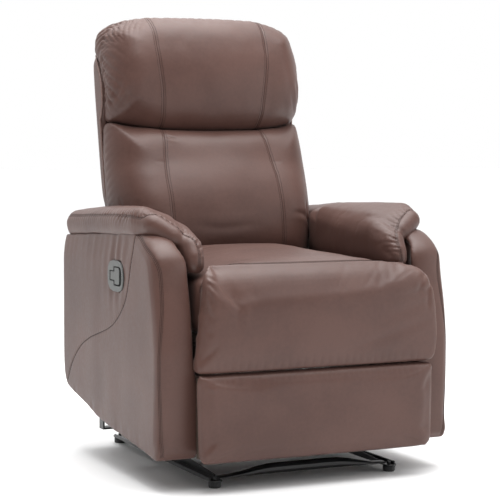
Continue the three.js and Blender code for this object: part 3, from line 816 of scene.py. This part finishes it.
def armrest(side, name):
    """One arm's pad: a bar along the arm, and a lobe that droops over its front and inner side."""
    bar = disc(324, 262, 554, 31, 13) + disc(290, 262, 555, 32, 13)
    bar += [(323, 60, 565, 32), (288, 60, 567, 33), (340, 262, 535, 11), (341, 60, 546, 12)]
    bar_front = [(323, 75, 564, 32), (262, 60, 566, 33), (327, -184, 577, 31), (270, -164, 559, 32),
                 (321, -235, 567, 26), (285, -255, 542, 26), (341, 75, 546, 12), (341, -190, 552, 12)]
    lobe = [(257, 108, 560, 26), (258, 108, 492, 26), (256, 52, 566, 27), (256, 52, 492, 27),
            (258, -150, 553, 29), (256, -150, 490, 28), (251, -208, 541, 30), (256, -250, 524, 29),
            (252, -280, 520, 26), (252, -298, 499, 23), (252, -302, 485, 22), (256, -205, 488, 26)]
    parts = [pod(*[(side * x, y, z, r) for x, y, z, r in balls], pair=False)
             for balls in (bar, bar_front, lobe)]
    ob = soft(name, parts, 5.5, 3)
    line, _ = onto(tree(ob), spline([(side * x, y, z) for x, y, z in PAD_SEAM]))
    line = even(line, STEP)
    co = get(ob)
    d, _ = near(co, line, 30)
    fill(ob, 4.0, hold=(d < 4) | (co[:, 2] < 540) & (np.abs(co[:, 0]) > 285) | (co[:, 2] < 478))
    finer(ob)
    line, _ = onto(tree(ob), line)
    line = even(line, STEP)
    groove(ob, line, 0.4, 6)
    above, below = (-side * 0.5, 0.3, 0.8), (side * 0.5, -0.3, -0.8)
    pleats(ob, line, 44, 3.4, 14, seed=11 + side, side=above, lean=0.55, span=(0.46, 1.0))
    pleats(ob, line, 24, 1.7, 8.5, seed=15 + side, side=above, lean=0.25, span=(0.52, 1.0))
    pleats(ob, line, 36, 2.2, 21, seed=31 + side, side=above, lean=0.9, span=(0.3, 0.62))
    pleats(ob, line, 34, 1.0, 15, seed=21 + side, side=below, span=(0.02, 0.72))
    pleats(ob, line, 30, 3.0, 20, seed=71 + side, side=below, lean=0.7, span=(0.46, 0.66))
    pleats(ob, line, 40, 2.6, 17, seed=81 + side, side=above, lean=0.7, span=(0.34, 0.56))
    pleats(ob, line, 26, 0.7, 18, seed=41 + side, side=above, span=(0.0, 0.4))
    soften(ob, 0.7, 45, 7 + side)
    sew(ob, [(line, "fine", None)], name)
    return ob


for side, tag in ((1, "left"), (-1, "right")):
    ob = armrest(side, "armrest_cushion_" + tag)
    finish_soft(ob, "base", ["armrest_pad_" + tag])


# ---- seat ---------------------------------------------------------------------------------------
def facing(x, z, y):
    """Places an outline that is seen from the front."""
    return (x, y, z)


SEAT_FRONT = outline([(0, 256.5), (120, 256.5), (220, 257), (284, 258), (296, 264), (301, 278), (304, 300),
                      (305, 327), (303, 355), (300, 381), (296, 405), (291, 430), (285, 447), (276, 461),
                      (258, 473), (215, 482), (120, 487), (0, 488), (-140, 488), (-232, 487), (-248, 482),
                      (-258, 472), (-264, 455), (-266, 430), (-269, 390), (-274, 345), (-279, 300),
                      (-283, 275), (-281, 263), (-272, 258), (-220, 257), (-120, 256.5)], mirror=False)
SEAT_Y, SEAT_TOP = -400, 488


def seat_cover():
    """The seat's cushion, with its front roll and its front panel."""
    body = pod((90, 46, 464, 38), (150, 46, 461, 37), (195, 46, 452, 34), (225, 46, 440, 30),
               (150, -320, 447, 42), (200, -320, 434, 40), (240, 52, 424, 22), (238, -320, 434, 24),
               (238, 60, 358, 24), (238, -320, 358, 24))
    top_roll = pod((140, -342, 424, 56), (205, -346, 416, 50), (236, -356, 428, 24), (236, -356, 400, 24))

    def front(x, z, d):
        sides = ease(262, 290, z)
        crowned = SEAT_Y + 3 * (x / 290) ** 2
        top, rim = roll(SEAT_TOP - z, 66, 58), roll(d, 9 + 4 * sides, 9 + 5 * sides)
        return crowned + top + rim + 3 * ((z - 350) / 100) ** 2

    def rear(x, z, d):
        return -360 + 16 * ease(246, 232, np.abs(x))

    ob = soft("seat_cover", [body, top_roll, pillow(SEAT_FRONT, (0, 370), front, rear, facing)], 5.5, 2)
    co = get(ob)
    seam = spline([(x, -345, 520) for x in (-262, -130, 0, 130, 262)])
    on, _ = onto(tree(ob), seam, (0, 0, -1))
    d, _ = near(co, on, 30)
    hold = (co[:, 2] < 345) & (co[:, 1] > -350) | (co[:, 2] < 272) | (d < 3.5)
    hold |= (np.abs(co[:, 0]) > 290) | (np.abs(co[:, 0]) > 215) & (co[:, 2] < 470) & (co[:, 1] > -340)
    fill(ob, 9.0, hold=hold)
    finer(ob)
    return ob


seat = seat_cover()
bvh = tree(seat)
rearward = (0, 1, 0)


def ahead(*points):
    """Points (x, z) in front of the chair, from which a line is cast onto it."""
    return [(x, -450, z) for x, z in points]


crease(seat, ahead((284, 458), (268, 446), (250, 415)), 1.9, 5, rearward, bvh)
crease(seat, ahead((289, 436), (279, 410), (276, 372)), 1.7, 5, rearward, bvh)
# The right corner is drawn in: short folds fan out from its upper edge.
CORNER_FOLDS = [((-264, 466), (-252, 462), (-236, 452), 1.7), ((-266, 452), (-252, 446), (-240, 428), 1.6),
                ((-268, 436), (-256, 424), (-250, 402), 1.5), ((-270, 412), (-262, 396), (-256, 372), 1.2)]
for a, b, c, deep in CORNER_FOLDS:
    crease(seat, ahead(a, b, c), deep, 4.0, rearward, bvh)
crease(seat, ahead((-205, 440), (-198, 400), (-196, 350)), 0.9, 8, rearward, bvh)
# Short upright gathers just above the lower edge.
hem_line, _ = onto(bvh, spline(ahead(*[(x, 268) for x in (-284, -140, 0, 140, 284)])), rearward)
pleats(seat, hem_line, 30, 1.0, 19, seed=51)
soften(seat, 0.9, 90, 2)
SEAT_SEAM = [(-268, -338, 560), (-200, -343, 560), (0, -347, 560), (200, -343, 560), (268, -338, 560)]
sew(seat, [(spline(SEAT_SEAM), "fine", (0, 0, -1))], "seat_cover")
line = [(279, 458), (288, 432), (294, 400), (298, 370), (300, 330), (298, 290), (294, 272)]
on, _ = onto(tree(seat), spline(ahead(*line)), rearward)
trim(seat, "seat_edge_piping", [tube(on, 1.4, 8)], LIT_PIPING)
finish_soft(seat, "seat", ["seat_cushion"])


# ---- back and head cushions ---------------------------------------------------------------------
BACK_SEAM = [(-40, 146), (0, 147), (60, 147), (107, 147), (133, 147), (183, 147), (232, 142), (281, 136),
             (314, 131)]
HEAD_SEAM = [(318, 130), (369, 133.5), (408, 136.5), (443, 141), (483, 145), (523, 147), (548, 148),
             (594, 150)]
SPLIT = [(0, 313), (110, 317), (190, 327), (240, 341)]
BACK_OUT = outline([(0, -58), (200, -58), (244, -46), (254, 0), (260, 60), (263, 110), (265, 165), (265, 240),
                    (263, 300), (259, 332), (247, 341)] + [(x, u - 1.5) for x, u in SPLIT[2::-1]])
HEAD_OUT = outline(SPLIT + [(254, 352), (259, 380), (261, 430), (262, 480), (264, 525), (260, 556),
                            (246, 578), (211, 595), (145, 600), (0, 601)])
SHELL_OUT = outline([(0, -60), (225, -60), (248, -50), (252, 60), (255, 130), (261, 180), (262, 300),
                     (262, 470), (258, 508), (240, 532), (196, 542), (0, 542)])
back_profile = spline([(u, v, 0) for u, v in [(-60, -20), (0, -32), (50, -40), (95, -42), (140, -38),
                                              (185, -26), (232, -9), (281, 2), (320, 14)]])
head_profile = spline([(u, v, 0) for u, v in [(310, 24), (339, 13), (369, 1), (408, -11), (443, -17),
                                              (483, -19), (523, -13), (545, -9), (605, 2)]])
# Where the cushions end and the rear shell begins, through the back.
divide = spline([(u, v, 0) for u, v in [(-80, 103), (0, 103), (330, 103), (352, 99), (372, 88), (395, 78),
                                        (430, 77), (461, 86), (500, 104), (530, 134), (545, 138),
                                        (620, 138)]])
BACK_HALF = 262
SHELL_FRONT, SHELL_REAR = 139, 146


def along(table, u):
    """How far through the back a curve of (u, v) lies at u."""
    return np.interp(u, table[:, 0], table[:, 1])


def crown(x, by):
    """The swell between the two upright seams."""
    return -by * np.clip(1 - (x / 147) ** 2, 0, 1)


def back_front(x, u, d):
    top = ease(200, 300, u) * (1 - ease(0.55, 1.0, np.abs(x) / BACK_HALF))
    deep = 0.86 * (along(divide, u) - along(back_profile, u))
    rim = roll(d, 98 * (1 - top) + 48 * top, deep * (1 - top) + 34 * top)
    return along(back_profile, u) + crown(x, 7) + rim


def head_front(x, u, d):
    flank = ease(0.5, 0.96, np.abs(x) / BACK_HALF)
    low = ease(480, 420, u)
    wide = (1 - flank) * (44 * low + 66 * (1 - low)) + flank * 92
    full = along(divide, u) - along(head_profile, u)
    deep = (1 - flank) * (36 * low + 54 * (1 - low)) + flank * 0.84 * full
    return along(head_profile, u) + crown(x, 8) + roll(d, wide, deep)


def cushion_rear(x, u, d):
    high = ease(500, 545, u)
    return along(divide, u) - roll(d, 8 + 34 * high, 5 + 30 * high)


def shell_front(x, u, d):
    return np.minimum(along(divide, u) + 0.8, SHELL_FRONT)


def shell_rear(x, u, d):
    return SHELL_REAR + 2.5 * (1 - (x / BACK_HALF) ** 2) - roll(d, 15)


def face_line(table, side):
    """A line up the front of the back, `side` of the middle."""
    return spline(ahead_of_back(*[(side * x, u) for u, x in table]))


def through(co):
    """How far each point is up the back, and through it."""
    y, z = co[:, 1] - BACK_Y, co[:, 2] - BACK_Z
    return y * BACK_SIN + z * BACK_COS, y * BACK_COS - z * BACK_SIN


def ahead_of_back(*points):
    """Points (x, u) ahead of the back, from which a line is cast onto it."""
    return [back(x, u, -160) for x, u in points]


toward_back = np.array(back(0, 0, 1)) - np.array(back(0, 0, 0))


def cushion(name, loop, centre, front, table, swell):
    """A cushion of the back, filled between its two upright seams."""
    ob = soft(name, [pillow(loop, centre, front, cushion_rear, back, rings=34)], 5.5, 2)
    co = get(ob)
    u, v = through(co)
    bvh = tree(ob)
    hold = v > along(divide, u) - 12
    for s in (1, -1):
        on, _ = onto(bvh, face_line(table, s), toward_back)
        d, _ = near(co, on, 20)
        hold |= d < 3.2
    fill(ob, swell, hold=hold)
    finer(ob)
    return ob


main = cushion("back_cover_front", BACK_OUT, (0, 130), back_front, BACK_SEAM, 5)
bvh = tree(main)
for s in (1, -1):
    crease(main, ahead_of_back((s * 240, 66), (s * 212, 88), (s * 180, 92)), 1.8, 6, toward_back, bvh)
    crease(main, ahead_of_back((s * 246, 40), (s * 228, 80), (s * 226, 125)), 2.6, 5, toward_back, bvh)
    crease(main, ahead_of_back((s * 256, 60), (s * 250, 95), (s * 254, 140)), 2.2, 4, toward_back, bvh)
crease(main, ahead_of_back((-133, 296), (-122, 288), (-104, 283)), 1.6, 3.5, toward_back, bvh)
crease(main, ahead_of_back((-90, 62), (-20, 56), (70, 64)), 1.2, 9, toward_back, bvh)
SIDE_RIM = [(262, 330), (264, 250), (264, 165), (262, 90)]
for s in (1, -1):
    rim, _ = onto(bvh, spline([back(s * x, u, 84) for x, u in SIDE_RIM]))
    pleats(main, rim, 46, 1.5, 23, seed=61 + s, lean=0.5)
soften(main, 0.9, 80, 12)
sew(main, [(face_line(BACK_SEAM, s), "double", toward_back) for s in (1, -1)], "back_cover_front")
finish_soft(main, "back", ["back_cushion"])

head = cushion("head_cover", HEAD_OUT, (0, 450), head_front, HEAD_SEAM, 5)
# Gathers where the cover is drawn in round its edge, deepest at the upper corners.
HALF_RIM = [(252, 348, 76), (258, 400, 60), (261, 470, 64), (263, 525, 70), (258, 556, 66), (244, 578, 62),
            (211, 596, 58), (120, 600, 58)]
right_rim = [back(-x, u, v) for x, u, v in HALF_RIM]
left_rim = [back(x, u, v) for x, u, v in HALF_RIM[::-1]]
rim = spline(right_rim + [back(0, 601, 58)] + left_rim)
rim, _ = onto(tree(head), rim)
rim = even(rim, STEP)
pleats(head, rim, 70, 2.0, 25, seed=3, lean=0.3)
pleats(head, rim, 92, 6.0, 19, seed=5, lean=0.8, span=(0.17, 0.34))
pleats(head, rim, 60, 3.6, 15, seed=7, lean=0.4, span=(0.2, 0.32))
pleats(head, rim, 70, 4.4, 16, seed=6, lean=-0.6, span=(0.68, 0.82))
pleats(head, rim, 100, 3.6, 30, seed=8, lean=1.0, span=(0.0, 0.2))
pleats(head, rim, 34, 1.6, 12, seed=9, lean=-0.3)
bvh = tree(head)
for s in (1, -1):
    crease(head, ahead_of_back((s * 250, 352), (s * 232, 372), (s * 216, 404)), 2.4, 7, toward_back, bvh)
    crease(head, ahead_of_back((s * 256, 372), (s * 244, 398), (s * 236, 430)), 2.2, 6, toward_back, bvh)
soften(head, 1.1, 60, 22)
sew(head, [(face_line(HEAD_SEAM, s), "double", toward_back) for s in (1, -1)], "head_cover")
finish_soft(head, "back", ["head_cushion"])

# ---- rear shell of the back ----------------------------------------------------------------------
shell = soft("back_shell", [pillow(SHELL_OUT, (0, 200), shell_front, shell_rear, back, rings=30)], 5.5, 2)
finer(shell)
edge = np.array([back(x, u, along(divide, u) + 1.2) for x, u in SHELL_OUT[SHELL_OUT[:, 1] < 545]])
edge, _ = onto(tree(shell), edge)
# The piping stands out a little and wanders where the cover puckers.
edge[:, 0] += np.sign(edge[:, 0]) * 0.7 * wave(edge[:, 2] / 14, 6)
edge[:, 0] += np.sign(edge[:, 0]) * 2.6
# The piping's lighter colour paints its highlight.
trim(shell, "back_piping_front", [tube(edge, 2.6, 8, closed=True)], LIT_PIPING)
edge, _ = onto(tree(shell), np.array([back(x * 0.985, (u - 240) * 0.985 + 240, 150) for x, u in SHELL_OUT]))
trim(shell, "back_piping_rear", [tube(edge, 2.2, 8, closed=True)], LIT_PIPING)
soften(shell, 0.6, 120, 33)
finish_soft(shell, "back", ["back_cover"])

# ---- rear panel between the arms --------------------------------------------------------------------
panel_loop = outline([(0, 88), (240, 88), (283, 91), (288, 98), (288, 312), (283, 319), (240, 321), (0, 321)])
PANEL_FRONT, PANEL_REAR = 246.5, 254.5


def panel_front(x, z, d):
    return PANEL_FRONT + 0 * x


def panel_rear(x, z, d):
    return PANEL_REAR - roll(d, 5) + 1.5 * ease(0, 60, d)


panel = soft("rear_panel_cover", [pillow(panel_loop, (0, 210), panel_front, panel_rear, facing)], 4, 1)
finer(panel)
soften(panel, 0.5, 70, 52)
finish_soft(panel, "base", ["rear_panel"])

# ---- footrest -------------------------------------------------------------------------------------
REST_OUT = outline([(0, 61.5), (150, 62), (262, 63), (280, 70), (288, 86), (290, 150), (291, 236), (289, 250),
                    (280, 255), (150, 256), (0, 256), (-150, 256), (-270, 255.5), (-281, 252), (-285, 240),
                    (-284, 150), (-281, 84), (-274, 69), (-258, 63), (-150, 62)], mirror=False)
REST_FRONT, REST_REAR = -403, -377.5


def rest_front(x, z, d):
    return REST_FRONT - 3 * np.clip(1 - (x / 290) ** 2, 0, 1) + roll(d, 11, 11)


def rest_rear(x, z, d):
    return REST_REAR + 0 * x


rest = soft("footrest_cover", [pillow(REST_OUT, (0, 160), rest_front, rest_rear, facing)], 5, 2)
co = get(rest)
fill(rest, 4.0, hold=co[:, 1] > -384)
finer(rest)
co = get(rest)
co[:, 0] *= 1 - 0.028 * ease(-392, -376, co[:, 1])
put(rest, co)
soften(rest, 0.6, 70, 42)
top_line, _ = onto(tree(rest), spline(ahead(*[(x, 249) for x in (-276, -140, 0, 140, 280)])), rearward)
pleats(rest, top_line, 26, 0.8, 14, seed=57)
crease(rest, ahead((-283, 246), (-262, 236), (-246, 238)), 1.6, 5, rearward, tree(rest))
edge, _ = onto(tree(rest), spline(ahead((285, 238), (285.5, 150), (283, 90))), rearward)
trim(rest, "footrest_edge_piping", [tube(edge, 1.3, 8)], LIT_PIPING)
finish_soft(rest, "footrest", ["footrest_pad"])
